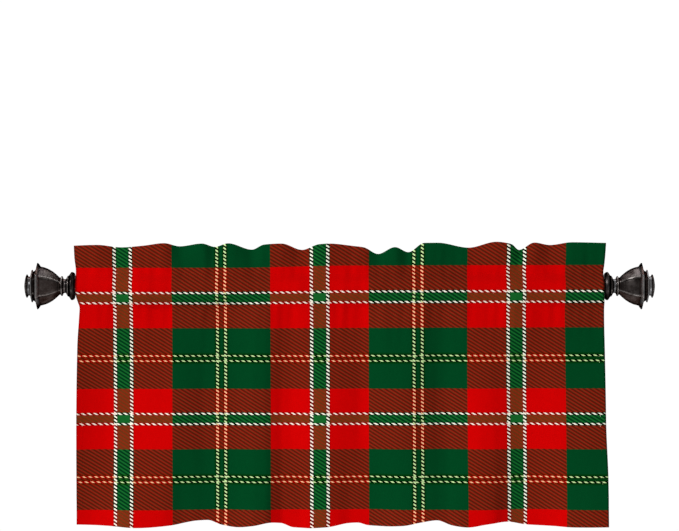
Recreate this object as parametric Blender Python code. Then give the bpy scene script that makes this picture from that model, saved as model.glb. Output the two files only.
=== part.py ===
"""A plaid window valance, gathered a little on a plain round rod with a six-sided finial at each end.

Frame: metres, +Z up, +X along the rod, -Y to the room, +Y to the wall. The origin is on the rod's axis,
midway between the finials. The sizes below are in millimetres and go through MM where a mesh is made.

The cloth is one closed solid. Each section across it is an outer outline (front face, heading fold, back
face, hem) and an inner outline (the rod pocket), and the sections are joined along the rod.
"""

import math

import bmesh
import bpy
import numpy as np

MM = 0.001

# ---- rod -------------------------------------------------------------------------------------------
ROD_RADIUS = 12.7
ROD_SIDES = 24
GAP = 0.3  # between pieces that meet
FINIAL_FACE = 427.8  # from the middle to each finial's inner face
STUD_RADIUS = 4.0  # the finial's screw stud
STUD_LENGTH = 20.0
STUD_HOLE_RADIUS = 4.5
STUD_HOLE_DEPTH = 22.0
ROD_CHAMFER = 0.8

# ---- cloth -----------------------------------------------------------------------------------------
COLUMNS = 66  # sections along the rod
CLOTH = 1.3  # one layer
DOUBLE = 2.5  # two layers, as in the heading and the hem
SEAM_Z = -35.0  # lower seam of the pocket
HEADING_Z = 20.0  # upper seam of the pocket
HEM_TURN = 26.0  # height of the turned-up hem
MEAN_Y = -2.0  # the plane that the folds swing about
CROWN = 1.2  # how far the heading's fold rises above its last row

# Half the pocket's inner width at each height, rod included.
POCKET = (
    # z, half_width
    (20.0, 0.0),
    (17.0, 2.9),
    (13.6, 5.9),
    (9.2, 10.1),
    (3.4, 13.5),
    (-3.4, 13.9),
    (-11.0, 12.4),
    (-20.0, 8.4),
    (-28.5, 3.6),
    (-33.5, 0.0),
)

# The two side edges at each height: the pocket is pulled in a little below the rod.
SIDES = (
    # z, left, right
    (70.0, -429.4, 430.4),
    (45.0, -428.2, 428.6),
    (31.0, -426.4, 427.0),
    (24.0, -425.9, 425.9),
    (0.0, -425.8, 425.8),
    (-16.0, -424.6, 425.8),
    (-26.0, -421.8, 427.2),
    (-35.0, -419.3, 427.3),
    (-50.0, -420.0, 427.2),
    (-97.0, -422.8, 427.8),
    (-220.0, -424.5, 429.0),
    (-314.0, -424.7, 432.4),
    (-392.0, -424.7, 433.2),
)

# The heading: a row for each soft pleat and each crease between two pleats.
HEADING = (
    # x, top, forward
    (-429.0, 65.0, 1.0),
    (-389.0, 66.2, 3.0),
    (-351.0, 62.3, -3.0),
    (-315.0, 65.0, 1.0),
    (-281.0, 69.0, 4.0),
    (-257.0, 64.0, -4.0),
    (-220.0, 68.4, 4.0),
    (-200.0, 63.0, -4.0),
    (-178.0, 68.8, 4.0),
    (-140.0, 58.6, -6.0),
    (-120.0, 66.8, 3.0),
    (-92.0, 68.4, 4.0),
    (-59.0, 58.2, -6.0),
    (-31.0, 67.4, 3.0),
    (-16.0, 68.4, 3.0),
    (25.0, 64.4, -1.0),
    (40.0, 62.5, 0.0),
    (64.0, 51.6, -7.0),
    (91.0, 62.7, 2.0),
    (113.0, 54.5, -6.0),
    (138.0, 69.5, 4.0),
    (160.0, 69.7, 3.0),
    (210.0, 61.8, -3.0),
    (254.0, 71.3, 4.0),
    (278.0, 67.7, 3.0),
    (292.0, 58.0, -7.0),
    (315.0, 70.0, 4.0),
    (341.0, 66.1, -2.0),
    (376.0, 70.5, 3.0),
    (431.0, 69.5, 1.0),
)

# How low the hem lies under each fold and each valley.
HEM = (
    # x, z
    (-425.0, -384.9),
    (-365.0, -387.6),
    (-331.0, -389.9),
    (-277.0, -386.4),
    (-231.0, -378.9),
    (-216.0, -378.4),
    (-193.0, -386.3),
    (-167.0, -389.9),
    (-141.0, -386.9),
    (-114.0, -382.1),
    (-97.0, -383.5),
    (-77.0, -390.4),
    (-56.0, -391.3),
    (-22.0, -389.5),
    (12.0, -383.6),
    (27.0, -382.9),
    (45.0, -387.2),
    (70.0, -388.1),
    (99.0, -386.6),
    (128.0, -381.2),
    (155.0, -377.6),
    (179.0, -385.2),
    (205.0, -388.1),
    (235.0, -383.6),
    (268.0, -380.2),
    (300.0, -385.2),
    (347.0, -387.1),
    (377.0, -388.1),
    (433.0, -387.4),
)

# The hanging part: a row for each fold's crest, valley and flanks. rod is how far the cloth lies off the rod's front,
# and seam, middle and low are how far it lies forward of MEAN_Y under the pocket, halfway down and at the hem.
FOLDS = (
    # x, rod, seam, middle, low
    (-428.0, 2.0, 5.4, 6.9, -0.8),
    (-400.0, 0.5, 3.6, -2.7, -5.0),
    (-378.0, 0.0, 0.6, -6.9, -2.3),
    (-350.0, 0.8, -1.0, -4.8, 5.0),
    (-320.0, 4.0, -3.9, -2.8, 6.8),
    (-290.0, 1.3, -5.5, -0.6, 4.0),
    (-272.0, 0.2, -4.7, 0.1, -0.8),
    (-257.0, 0.0, -6.0, -2.2, -5.4),
    (-240.0, 0.0, -7.0, -5.9, -7.5),
    (-218.0, 0.0, -8.8, -11.0, -11.2),
    (-204.0, 0.0, -9.6, -11.0, -12.9),
    (-193.0, 0.0, -9.2, -11.0, -13.5),
    (-175.0, 0.0, -7.8, -11.0, -11.7),
    (-155.0, 0.0, -2.8, -7.3, -4.2),
    (-138.0, 0.0, 5.4, -2.9, 2.4),
    (-124.0, 0.0, 7.0, -2.1, 2.3),
    (-107.0, 0.0, 5.1, -6.4, -6.6),
    (-93.0, 0.0, 1.9, -11.0, -13.5),
    (-83.0, 0.9, 1.2, -11.0, -13.5),
    (-68.0, 1.8, 2.1, -6.9, -13.0),
    (-48.0, 0.2, 3.5, 0.7, -4.6),
    (-30.0, 0.0, 2.6, 2.6, -3.3),
    (-6.0, 0.0, -0.1, 0.1, -6.9),
    (18.0, 0.0, -2.6, -4.0, -13.5),
    (34.0, 0.2, -2.5, -6.8, -13.5),
    (43.0, 1.6, -0.6, -5.9, -13.5),
    (60.0, 3.4, 3.5, -1.2, -11.2),
    (80.0, 2.6, 7.0, 3.9, -1.8),
    (102.0, 4.2, 7.0, 7.7, 6.5),
    (114.0, 4.2, 7.0, 7.4, 8.3),
    (130.0, 3.7, 7.0, 2.9, 6.2),
    (148.0, 3.3, 3.3, -1.6, 3.9),
    (160.0, 3.3, 1.1, -4.9, 2.7),
    (170.0, 4.2, 1.4, -5.7, 3.3),
    (186.0, 4.2, 5.3, -0.0, 11.1),
    (205.0, 4.2, 7.0, 6.7, 13.5),
    (230.0, 4.2, 7.0, 11.0, 13.5),
    (245.0, 4.2, 7.0, 11.0, 11.3),
    (262.0, 4.2, 7.0, 8.1, 2.1),
    (280.0, 4.2, 6.5, 2.7, -5.0),
    (296.0, 2.7, 2.6, -0.0, -7.5),
    (320.0, 0.5, -0.2, 3.5, -5.8),
    (347.0, 2.6, -1.5, 8.6, 1.6),
    (366.0, 3.4, -2.4, 11.2, 11.4),
    (388.0, 3.5, -3.0, 13.0, 15.4),
    (405.0, 4.4, -2.9, 13.8, 18.0),
    (433.0, 4.4, -2.5, 13.4, 18.6),
)

# ---- finial ----------------------------------------------------------------------------------------
FINIAL_SIDES = 18
# Turned and six-sided sections from the outer tip inwards. width is from corner to corner on a six-sided one.
FINIAL = (
    # along, width, six_sided
    (0.0, 9.0, 0),
    (0.8, 20.0, 0),
    (2.4, 33.0, 0),
    (4.0, 38.2, 0),
    (5.4, 35.4, 0),
    (7.2, 31.0, 0),
    (10.2, 31.0, 0),
    (12.2, 53.2, 1),
    (13.7, 53.2, 1),
    (14.8, 43.6, 1),
    (17.6, 46.8, 1),
    (19.6, 58.1, 1),
    (20.7, 76.0, 1),
    (21.8, 76.0, 1),
    (26.2, 64.0, 1),
    (35.4, 59.4, 1),
    (46.1, 47.7, 1),
    (53.2, 36.5, 1),
    (57.6, 27.7, 1),
    (59.2, 26.6, 0),
    (60.8, 32.1, 0),
    (62.9, 25.0, 0),
    (66.0, 21.6, 0),
    (70.0, 32.9, 0),
    (72.0, 34.7, 0),
    (75.2, 43.6, 0),
    (77.0, 45.8, 0),
    (81.4, 41.9, 0),
)


def column(table, k):
    return np.array([row[k] for row in table], float)


def smooth(xs, ys, at):
    """A smooth curve through the points that never swings past them."""
    if xs[0] > xs[-1]:
        xs, ys = xs[::-1], ys[::-1]
    step = np.diff(xs)
    rise = np.diff(ys) / step
    slope = np.zeros(len(xs))
    slope[0], slope[-1] = rise[0], rise[-1]
    for i in range(1, len(xs) - 1):
        if rise[i - 1] * rise[i] > 0:
            a, b = 2 * step[i] + step[i - 1], step[i] + 2 * step[i - 1]
            slope[i] = (a + b) / (a / rise[i - 1] + b / rise[i])
    at = np.clip(at, xs[0], xs[-1])
    i = np.clip(np.searchsorted(xs, at) - 1, 0, len(step) - 1)
    t = (at - xs[i]) / step[i]
    return (
        (1 + 2 * t) * (1 - t) ** 2 * ys[i]
        + t * (1 - t) ** 2 * step[i] * slope[i]
        + t * t * (3 - 2 * t) * ys[i + 1]
        + t * t * (t - 1) * step[i] * slope[i + 1]
    )


def ease(t):
    t = min(max(t, 0.0), 1.0)
    return t * t * (3 - 2 * t)


def material(name, colour, roughness, metallic):
    made = bpy.data.materials.new(name)
    made.use_nodes = True
    shader = made.node_tree.nodes["Principled BSDF"]
    shader.inputs["Base Color"].default_value = (*colour, 1.0)
    shader.inputs["Roughness"].default_value = roughness
    shader.inputs["Metallic"].default_value = metallic
    return made


def add_object(name, bm, finish, parent, crease=math.radians(28)):
    bmesh.ops.recalc_face_normals(bm, faces=bm.faces)
    mesh = bpy.data.meshes.new(name)
    bm.to_mesh(mesh)
    bm.free()
    mesh.materials.append(finish)
    mesh.shade_smooth()
    mesh.set_sharp_from_angle(angle=crease)
    obj = bpy.data.objects.new(name, mesh)
    bpy.context.scene.collection.objects.link(obj)
    obj.parent = parent
    return obj


def ring_points(radius, sides, six_sided):
    """(y, z) around the rod's axis. A six-sided ring has a corner at its top and a flat towards the room."""
    found = []
    for k in range(sides):
        turn = 2 * math.pi * k / sides
        r = radius
        if six_sided:
            r *= math.cos(math.pi / 6) / math.cos(turn % (math.pi / 3) - math.pi / 6)
        found.append((-r * math.sin(turn), r * math.cos(turn)))
    return found


def turned(bm, sections, sides):
    """Joins rings (x, radius, six_sided) into a closed solid. Its two ends are flat."""
    rings = [
        [bm.verts.new((x * MM, y * MM, z * MM)) for y, z in ring_points(r, sides, six)]
        for x, r, six in sections
    ]
    for one, other in zip(rings, rings[1:]):
        for k in range(sides):
            j = (k + 1) % sides
            bm.faces.new((one[k], one[j], other[j], other[k]))
    bm.faces.new(rings[0])
    bm.faces.new(rings[-1][::-1])


# ---- rod and finials -------------------------------------------------------------------------------
def rod_sections():
    """One run over the rod's surface: from the bottom of one stud hole, out over the rod, into the other hole."""
    end = FINIAL_FACE - GAP
    half = (
        (end - STUD_HOLE_DEPTH, STUD_HOLE_RADIUS),
        (end, STUD_HOLE_RADIUS),
        (end, ROD_RADIUS - ROD_CHAMFER),
        (end - ROD_CHAMFER, ROD_RADIUS),
    )
    left = [(-x, r, 0) for x, r in half]
    return left + [(x, r, 0) for x, r in half[::-1]]


def finial_sections(side):
    """side is -1 for the left end and 1 for the right one."""
    length = FINIAL[-1][0]
    found = [
        (side * (FINIAL_FACE + length - along), width / 2, six)
        for along, width, six in FINIAL
    ]
    face = FINIAL_FACE
    found.append((side * face, STUD_RADIUS, 0))
    found.append((side * (face - STUD_LENGTH), STUD_RADIUS, 0))
    return found


# ---- cloth -----------------------------------------------------------------------------------------
HEADING_ROWS = (0.12, 0.34, 0.60, 0.85, 1.0)
BODY_ROWS = (0.014, 0.09, 0.22, 0.38, 0.56, 0.75)  # down from the seam, without the hem


def heading_at(x):
    xs = column(HEADING, 0)
    return float(smooth(xs, column(HEADING, 1), x)), float(
        smooth(xs, column(HEADING, 2), x)
    )


def fold_at(x):
    """(rod, seam, middle, low) at a nominal x."""
    xs = column(FOLDS, 0)
    return [float(smooth(xs, column(FOLDS, k), x)) for k in (1, 2, 3, 4)]


def forward(x, down):
    """How far the hanging cloth lies forward of MEAN_Y at a share of the way down from the seam to the hem."""
    _, seam, middle, low = fold_at(x)
    if down < 0.5:
        return seam + (middle - seam) * ease(down / 0.5)
    return middle + (low - middle) * ease((down - 0.5) / 0.5)


def across(share, z):
    """The x of a column, for its share of the width, at a height."""
    zs = column(SIDES, 0)
    left, right = (float(smooth(zs, column(SIDES, k), z)) for k in (1, 2))
    return left + share * (right - left)


def cloth_section(share):
    """Front and back outer points from the hem to the top of the heading, the crown between them, and the
    pocket's front and back points, which share their first and last."""
    nominal = -427.0 + 858.0 * share
    hem = float(smooth(column(HEM, 0), column(HEM, 1), nominal))
    swell, seam_forward, _, _ = fold_at(nominal)
    top, lean = heading_at(nominal)

    def point(y, z):
        return (across(share, z), y, z)

    front, back = [], []
    # The hanging part, with the hem turned up at the back.
    drop = SEAM_Z - hem
    turn = HEM_TURN / drop
    rows = [(1.0, DOUBLE), (1.0 - turn, DOUBLE), (1.0 - turn - 0.008, CLOTH)]
    rows += [(down, CLOTH) for down in BODY_ROWS[::-1]]
    rows.append((0.0, DOUBLE))
    for down, thick in rows:
        z = SEAM_Z - down * drop
        y = MEAN_Y - forward(nominal, down)
        front.append(point(y - CLOTH / 2, z))
        back.append(point(y - CLOTH / 2 + thick, z))
    # The pocket, around its own clear space. A gather lifts its front.
    middle_seam = MEAN_Y - seam_forward + (DOUBLE - CLOTH) / 2
    middle_top = -lean * 0.25
    inner_front, inner_back = [], []
    for z, half in POCKET[::-1]:
        up = (z - SEAM_Z) / (HEADING_Z - SEAM_Z)
        around = ease(half / 10.0)
        at_rest = middle_seam * (1 - ease(up / 0.45)) + middle_top * ease((up - 0.6) / 0.4)
        y = at_rest * (1 - around)
        lift = swell * around
        inner_front.append(point(y - half - lift, z))
        inner_back.append(point(y + half, z))
        if 0 < half:
            # The wall's outer face leans out of the square, so it is set off along its own slope.
            front.append(point(y - half - lift - CLOTH * 1.05, z + wall_rise(z)))
            back.append(point(y + half + CLOTH * 1.05, z + wall_rise(z)))
    # The heading's two layers.
    base = HEADING_Z + 2.4
    for part in (0.0,) + HEADING_ROWS:
        z = base + part * (top - CROWN - base)
        y = middle_top + (-lean - middle_top) * ease(part)
        front.append(point(y - DOUBLE / 2, z))
        back.append(point(y + DOUBLE / 2, z))
    crown = point(-lean, top)
    return front, back, crown, inner_front, inner_back


def wall_rise(z):
    """The outer face of the pocket's wall sits a little higher than the inner one over the rod, and lower under it."""
    return 1.0 * ease((z - 2.0) / 14.0) - 0.6 * ease((-z - 6.0) / 20.0)


def cloth_mesh(bm):
    sections = []
    for i in range(COLUMNS):
        front, back, crown, inner_front, inner_back = cloth_section(i / (COLUMNS - 1))
        outer = front + [crown] + back[::-1]
        inner = inner_front + inner_back[-2:0:-1]
        make = lambda points: [bm.verts.new([c * MM for c in p]) for p in points]
        sections.append((make(outer), make(inner), len(front), len(inner_front)))
    for one, other in zip(sections, sections[1:]):
        for which in (0, 1):
            a, b = one[which], other[which]
            for k in range(len(a)):
                j = (k + 1) % len(a)
                bm.faces.new((a[k], a[j], b[j], b[k]))
    for outer, inner, rows, pocket_rows in (sections[0], sections[-1]):
        cap(bm, outer, inner, rows, pocket_rows)


def cap(bm, outer, inner, rows, pocket_rows):
    """Closes one side edge of the cloth: between front and back, and on both walls of the pocket."""
    n = len(outer)
    front, crown, back = outer[:rows], outer[rows], outer[: rows : -1]
    inner_front = inner[:pocket_rows]
    inner_back = [inner[0]] + inner[: pocket_rows - 1 : -1] + [inner[pocket_rows - 1]]
    first = rows - (pocket_rows - 2) - len(HEADING_ROWS) - 2  # the seam's row
    last = first + pocket_rows - 1  # the heading's lowest row
    for k in range(rows - 1):
        if first <= k < last:
            i = k - first
            bm.faces.new((front[k], inner_front[i], inner_front[i + 1], front[k + 1]))
            bm.faces.new((inner_back[i], back[k], back[k + 1], inner_back[i + 1]))
        else:
            bm.faces.new((front[k], back[k], back[k + 1], front[k + 1]))
    bm.faces.new((front[first], back[first], inner_front[0]))
    bm.faces.new((front[last], inner_front[-1], back[last]))
    bm.faces.new((front[-1], back[-1], crown))
    assert len(back) == rows and n == 2 * rows + 1


# ---- the model -------------------------------------------------------------------------------------
for old in list(bpy.data.objects):
    bpy.data.objects.remove(old, do_unlink=True)

plaid_cloth = material("plaid_cloth", (0.45, 0.02, 0.02), 0.85, 0.0)
bronze = material("dark_bronze", (0.028, 0.021, 0.019), 0.42, 0.75)
bronze_rod = material("dark_bronze_rod", (0.03, 0.023, 0.02), 0.45, 0.7)

root = bpy.data.objects.new("valance_on_rod", None)
bpy.context.scene.collection.objects.link(root)

bm = bmesh.new()
turned(bm, rod_sections(), ROD_SIDES)
add_object("rod", bm, bronze_rod, root)

for name, side in (("finial_left", -1), ("finial_right", 1)):
    bm = bmesh.new()
    turned(bm, finial_sections(side), FINIAL_SIDES)
    add_object(name, bm, bronze, root)

bm = bmesh.new()
cloth_mesh(bm)
add_object("valance", bm, plaid_cloth, root, crease=math.radians(50))
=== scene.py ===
"""The looks of a plaid window valance on its rod: a gathered cloth sheet with its seams, six-sided bronze
finials, the materials, the studio light and the camera. Sizes are in millimetres and go through MM."""

import math

import bmesh
import bpy
import numpy as np
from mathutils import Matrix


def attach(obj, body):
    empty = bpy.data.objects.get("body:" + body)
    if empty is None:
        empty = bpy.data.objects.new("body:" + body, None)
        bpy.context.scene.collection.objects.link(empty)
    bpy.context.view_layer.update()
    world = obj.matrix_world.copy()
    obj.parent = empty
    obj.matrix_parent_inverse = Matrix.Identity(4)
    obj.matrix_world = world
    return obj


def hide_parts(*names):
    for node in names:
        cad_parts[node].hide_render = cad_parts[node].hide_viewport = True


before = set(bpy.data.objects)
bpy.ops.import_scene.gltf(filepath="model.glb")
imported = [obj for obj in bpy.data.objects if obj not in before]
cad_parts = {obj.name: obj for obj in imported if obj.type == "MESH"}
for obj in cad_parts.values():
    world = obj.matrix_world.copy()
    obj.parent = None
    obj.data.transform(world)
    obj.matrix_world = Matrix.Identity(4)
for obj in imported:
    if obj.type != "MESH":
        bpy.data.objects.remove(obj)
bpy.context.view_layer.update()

MM = 0.001

# =====================================================================================================
# The construction's own tables, in millimetres, so that the cloth lies where its solid does.
# =====================================================================================================
FINIAL_FACE = 427.8
SEAM_Z = -35.0
HEADING_Z = 20.0
HEM_TURN = 26.0
MEAN_Y = -2.0
CROWN = 1.2
FIRST_X, SPAN_X = -427.0, 858.0  # nominal x of the first column, and the width that the columns share

POCKET = (
    # z, half_width
    (20.0, 0.0),
    (17.0, 2.9),
    (13.6, 5.9),
    (9.2, 10.1),
    (3.4, 13.5),
    (-3.4, 13.9),
    (-11.0, 12.4),
    (-20.0, 8.4),
    (-28.5, 3.6),
    (-33.5, 0.0),
)

SIDES = (
    # z, left, right
    (70.0, -429.4, 430.4),
    (45.0, -428.2, 428.6),
    (31.0, -426.4, 427.0),
    (24.0, -425.9, 425.9),
    (0.0, -425.8, 425.8),
    (-16.0, -424.6, 425.8),
    (-26.0, -421.8, 427.2),
    (-35.0, -419.3, 427.3),
    (-50.0, -420.0, 427.2),
    (-97.0, -422.8, 427.8),
    (-220.0, -424.5, 429.0),
    (-314.0, -424.7, 432.4),
    (-392.0, -424.7, 433.2),
)

HEADING = (
    # x, top, forward
    (-429.0, 65.0, 1.0),
    (-389.0, 66.2, 3.0),
    (-351.0, 62.3, -3.0),
    (-315.0, 65.0, 1.0),
    (-281.0, 69.0, 4.0),
    (-257.0, 64.0, -4.0),
    (-220.0, 68.4, 4.0),
    (-200.0, 63.0, -4.0),
    (-178.0, 68.8, 4.0),
    (-140.0, 58.6, -6.0),
    (-120.0, 66.8, 3.0),
    (-92.0, 68.4, 4.0),
    (-59.0, 58.2, -6.0),
    (-31.0, 67.4, 3.0),
    (-16.0, 68.4, 3.0),
    (25.0, 64.4, -1.0),
    (40.0, 62.5, 0.0),
    (64.0, 51.6, -7.0),
    (91.0, 62.7, 2.0),
    (113.0, 54.5, -6.0),
    (138.0, 69.5, 4.0),
    (160.0, 69.7, 3.0),
    (210.0, 61.8, -3.0),
    (254.0, 71.3, 4.0),
    (278.0, 67.7, 3.0),
    (292.0, 58.0, -7.0),
    (315.0, 70.0, 4.0),
    (341.0, 66.1, -2.0),
    (376.0, 70.5, 3.0),
    (431.0, 69.5, 1.0),
)

HEM = (
    # x, z
    (-425.0, -384.9),
    (-365.0, -387.6),
    (-331.0, -389.9),
    (-277.0, -386.4),
    (-231.0, -378.9),
    (-216.0, -378.4),
    (-193.0, -386.3),
    (-167.0, -389.9),
    (-141.0, -386.9),
    (-114.0, -382.1),
    (-97.0, -383.5),
    (-77.0, -390.4),
    (-56.0, -391.3),
    (-22.0, -389.5),
    (12.0, -383.6),
    (27.0, -382.9),
    (45.0, -387.2),
    (70.0, -388.1),
    (99.0, -386.6),
    (128.0, -381.2),
    (155.0, -377.6),
    (179.0, -385.2),
    (205.0, -388.1),
    (235.0, -383.6),
    (268.0, -380.2),
    (300.0, -385.2),
    (347.0, -387.1),
    (377.0, -388.1),
    (433.0, -387.4),
)

# How far forward each fold's crests, flanks and valleys lie: off the rod, at the seam, half way down, at the hem.
FOLDS = (
    # x, rod, seam, middle, low
    (-428.0, 2.0, 5.4, 6.9, -0.8),
    (-400.0, 0.5, 3.6, -2.7, -5.0),
    (-378.0, 0.0, 0.6, -6.9, -2.3),
    (-350.0, 0.8, -1.0, -4.8, 5.0),
    (-320.0, 4.0, -3.9, -2.8, 6.8),
    (-290.0, 1.3, -5.5, -0.6, 4.0),
    (-272.0, 0.2, -4.7, 0.1, -0.8),
    (-257.0, 0.0, -6.0, -2.2, -5.4),
    (-240.0, 0.0, -7.0, -5.9, -7.5),
    (-218.0, 0.0, -8.8, -11.0, -11.2),
    (-204.0, 0.0, -9.6, -11.0, -12.9),
    (-193.0, 0.0, -9.2, -11.0, -13.5),
    (-175.0, 0.0, -7.8, -11.0, -11.7),
    (-155.0, 0.0, -2.8, -7.3, -4.2),
    (-138.0, 0.0, 5.4, -2.9, 2.4),
    (-124.0, 0.0, 7.0, -2.1, 2.3),
    (-107.0, 0.0, 5.1, -6.4, -6.6),
    (-93.0, 0.0, 1.9, -11.0, -13.5),
    (-83.0, 0.9, 1.2, -11.0, -13.5),
    (-68.0, 1.8, 2.1, -6.9, -13.0),
    (-48.0, 0.2, 3.5, 0.7, -4.6),
    (-30.0, 0.0, 2.6, 2.6, -3.3),
    (-6.0, 0.0, -0.1, 0.1, -6.9),
    (18.0, 0.0, -2.6, -4.0, -13.5),
    (34.0, 0.2, -2.5, -6.8, -13.5),
    (43.0, 1.6, -0.6, -5.9, -13.5),
    (60.0, 3.4, 3.5, -1.2, -11.2),
    (80.0, 2.6, 7.0, 3.9, -1.8),
    (102.0, 4.2, 7.0, 7.7, 6.5),
    (114.0, 4.2, 7.0, 7.4, 8.3),
    (130.0, 3.7, 7.0, 2.9, 6.2),
    (148.0, 3.3, 3.3, -1.6, 3.9),
    (160.0, 3.3, 1.1, -4.9, 2.7),
    (170.0, 4.2, 1.4, -5.7, 3.3),
    (186.0, 4.2, 5.3, -0.0, 11.1),
    (205.0, 4.2, 7.0, 6.7, 13.5),
    (230.0, 4.2, 7.0, 11.0, 13.5),
    (245.0, 4.2, 7.0, 11.0, 11.3),
    (262.0, 4.2, 7.0, 8.1, 2.1),
    (280.0, 4.2, 6.5, 2.7, -5.0),
    (296.0, 2.7, 2.6, -0.0, -7.5),
    (320.0, 0.5, -0.2, 3.5, -5.8),
    (347.0, 2.6, -1.5, 8.6, 1.6),
    (366.0, 3.4, -2.4, 11.2, 11.4),
    (388.0, 3.5, -3.0, 13.0, 15.4),
    (405.0, 4.4, -2.9, 13.8, 18.0),
    (433.0, 4.4, -2.5, 13.4, 18.6),
)

# =====================================================================================================
# Only the looks: the cloth's make, the plaid and the finial's fine profile.
# =====================================================================================================
COLUMNS = 268
THICK = 0.9  # one layer of the cloth
LAYER = 1.02  # from the middle of one layer to the middle of the next one
SIDE_HEM = 11.0

# Ripples that are finer than the folds: how far they lift the cloth at each height, and how long they are.
RIPPLES = (
    # z, fine_mm, broad_mm
    (72.0, 0.20, 1.0),
    (50.0, 0.34, 1.2),
    (26.0, 0.55, 1.3),
    (12.0, 0.60, 1.5),
    (-8.0, 0.55, 1.5),
    (-26.0, 0.60, 1.5),
    (-36.0, 0.70, 1.4),
    (-52.0, 0.55, 1.2),
    (-80.0, 0.26, 0.9),
    (-130.0, 0.08, 0.7),
    (-250.0, 0.04, 0.5),
    (-392.0, 0.04, 0.5),
)

# Plaid, in millimetres of the cloth's face. Each direction has red bands with a white pair around a lighter
# green core, and green bands with a yellow pair.
PLAID_X = dict(period=316.9, red_centre=-31.9, white_at=13.1, white_half=2.5, yellow_at=6.6, yellow_half=2.1)
PLAID_Z = dict(period=195.6, red_centre=-18.9, white_at=8.25, white_half=1.55, yellow_at=4.15, yellow_half=1.12)
TWILL_X, TWILL_Z = 9.68, 5.97
YARN = 0.8  # from one yarn to the next

# How far the plaid drifts sideways in the hanging cloth, to the right where it is more than 0, at four places.
DRIFT = (
    # z, at -360, at -190, at -30, at 285
    (48.0, -2.7, -1.6, -0.4, 1.1),
    (15.0, -1.6, -1.3, -0.5, -0.3),
    (-45.0, -0.9, -0.9, -0.2, -0.5),
    (-90.0, -0.6, -0.7, 0.0, -0.1),
    (-143.0, -0.3, -0.6, 0.0, 0.0),
    (-184.0, -0.2, -0.6, 0.1, 0.4),
    (-245.0, -0.1, -0.6, 0.1, 1.0),
    (-287.0, 0.0, -0.5, 0.2, 1.5),
    (-337.0, 0.2, -0.5, 0.3, 2.2),
)
DRAWN_UP = (
    # x, everywhere, more at the rod
    (-430.0, -0.4, 0.0),
    (-170.0, -0.4, 0.0),
    (-80.0, -0.3, 1.6),
    (10.0, 0.0, 3.1),
    (200.0, 0.6, 3.1),
    (430.0, 1.0, 3.1),
)

# Yarns as they look in even light, in 8-bit display values.
RED = (203, 2, 3)
GREEN = (2, 66, 31)
CORE = (22, 100, 41)
WHITE_OVER_RED = (255, 243, 228)
WHITE_OVER_GREEN = (254, 254, 234)
YELLOW_OVER_RED = (255, 199, 150)
YELLOW_OVER_GREEN = (206, 236, 166)
LIGHT_LEVEL = 1.02  # what the studio light adds up to on the cloth's face

FINIAL = (
    # along, width, six, rounding
    (0.0, 0.6, 0, 0.0),
    (0.35, 9.0, 0, 2.0),
    (1.6, 24.0, 0, 3.0),
    (3.0, 34.6, 0, 1.6),
    (4.1, 38.2, 0, 0.8),
    (5.2, 37.0, 0, 0.5),
    (6.0, 31.6, 0, 0.8),
    (8.4, 30.4, 0, 1.0),
    (10.4, 31.6, 0, 0.6),
    (11.3, 50.6, 1, 0.9),
    (12.4, 53.4, 1, 0.5),
    (13.6, 53.0, 1, 0.6),
    (14.5, 47.4, 1, 0.8),
    (16.6, 49.6, 1, 2.0),
    (18.7, 54.6, 1, 2.0),
    (19.8, 61.0, 1, 1.2),
    (20.4, 74.4, 1, 0.5),
    (21.3, 76.0, 1, 0.6),
    (22.7, 75.0, 1, 0.9),
    (25.2, 68.4, 1, 0.8),
    (26.2, 64.6, 1, 0.5),
    (27.0, 63.6, 1, 0.5),
    (30.8, 62.0, 1, 3.0),
    (35.4, 59.2, 1, 4.0),
    (40.8, 54.2, 1, 4.0),
    (46.1, 47.7, 1, 4.0),
    (50.4, 40.9, 1, 3.0),
    (53.6, 35.2, 1, 3.0),
    (57.0, 28.6, 1, 1.2),
    (58.6, 27.2, 0, 0.8),
    (59.6, 31.2, 0, 0.7),
    (60.8, 32.8, 0, 0.6),
    (62.0, 31.0, 0, 0.7),
    (63.0, 24.6, 0, 0.8),
    (65.4, 21.8, 0, 1.4),
    (67.4, 23.0, 0, 1.2),
    (69.2, 30.0, 0, 1.0),
    (70.4, 33.6, 0, 0.6),
    (72.0, 34.0, 0, 0.6),
    (73.4, 38.0, 0, 1.0),
    (75.4, 44.4, 0, 0.8),
    (76.9, 46.0, 0, 0.6),
    (78.6, 45.2, 0, 1.0),
    (81.0, 42.2, 0, 0.4),
    (81.4, 41.0, 0, 0.0),
)

# How light the dark finish is along the finial: 1 is the plain finish, more is lighter. The values are partly the
# finish rubbed off and partly painted light and shade: lighter bands for highlights on rings and lips, darker ones for
# shade in coves and on the collar, and on_upper_faces paints the upper faces lighter or darker as light from above
# would.
FINISH_AND_PAINTED_LIGHT = (
    # along, all_round, on_upper_faces
    (0.0, 0.25, 1.0),
    (3.2, 0.30, 0.8),
    (4.2, 0.40, 0.7),
    (5.6, 2.6, 0.75),
    (9.6, 2.6, 0.75),
    (10.8, 0.4, 0.6),
    (12.2, 3.6, 0.5),
    (13.6, 3.6, 0.5),
    (14.8, 0.7, 0.5),
    (19.4, 0.8, 0.4),
    (20.6, 1.9, 0.3),
    (24.8, 1.9, 0.45),
    (26.6, 0.80, 2.3),
    (30.0, 0.92, 1.9),
    (36.0, 1.10, 0.62),
    (44.0, 1.20, 0.46),
    (51.0, 0.95, 0.50),
    (57.0, 0.85, 0.58),
    (58.8, 0.7, 1.0),
    (60.6, 1.5, 1.0),
    (62.8, 0.7, 1.0),
    (64.4, 2.3, 1.0),
    (67.4, 2.3, 1.0),
    (69.2, 0.6, 1.0),
    (71.0, 0.8, 1.0),
    (72.6, 0.16, 1.0),
    (75.6, 0.18, 1.0),
    (77.0, 0.60, 1.0),
    (79.8, 0.60, 1.0),
    (81.4, 0.4, 1.0),
)


# =====================================================================================================
# Helpers
# =====================================================================================================
def column(table, k):
    return np.array([row[k] for row in table], float)


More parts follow.
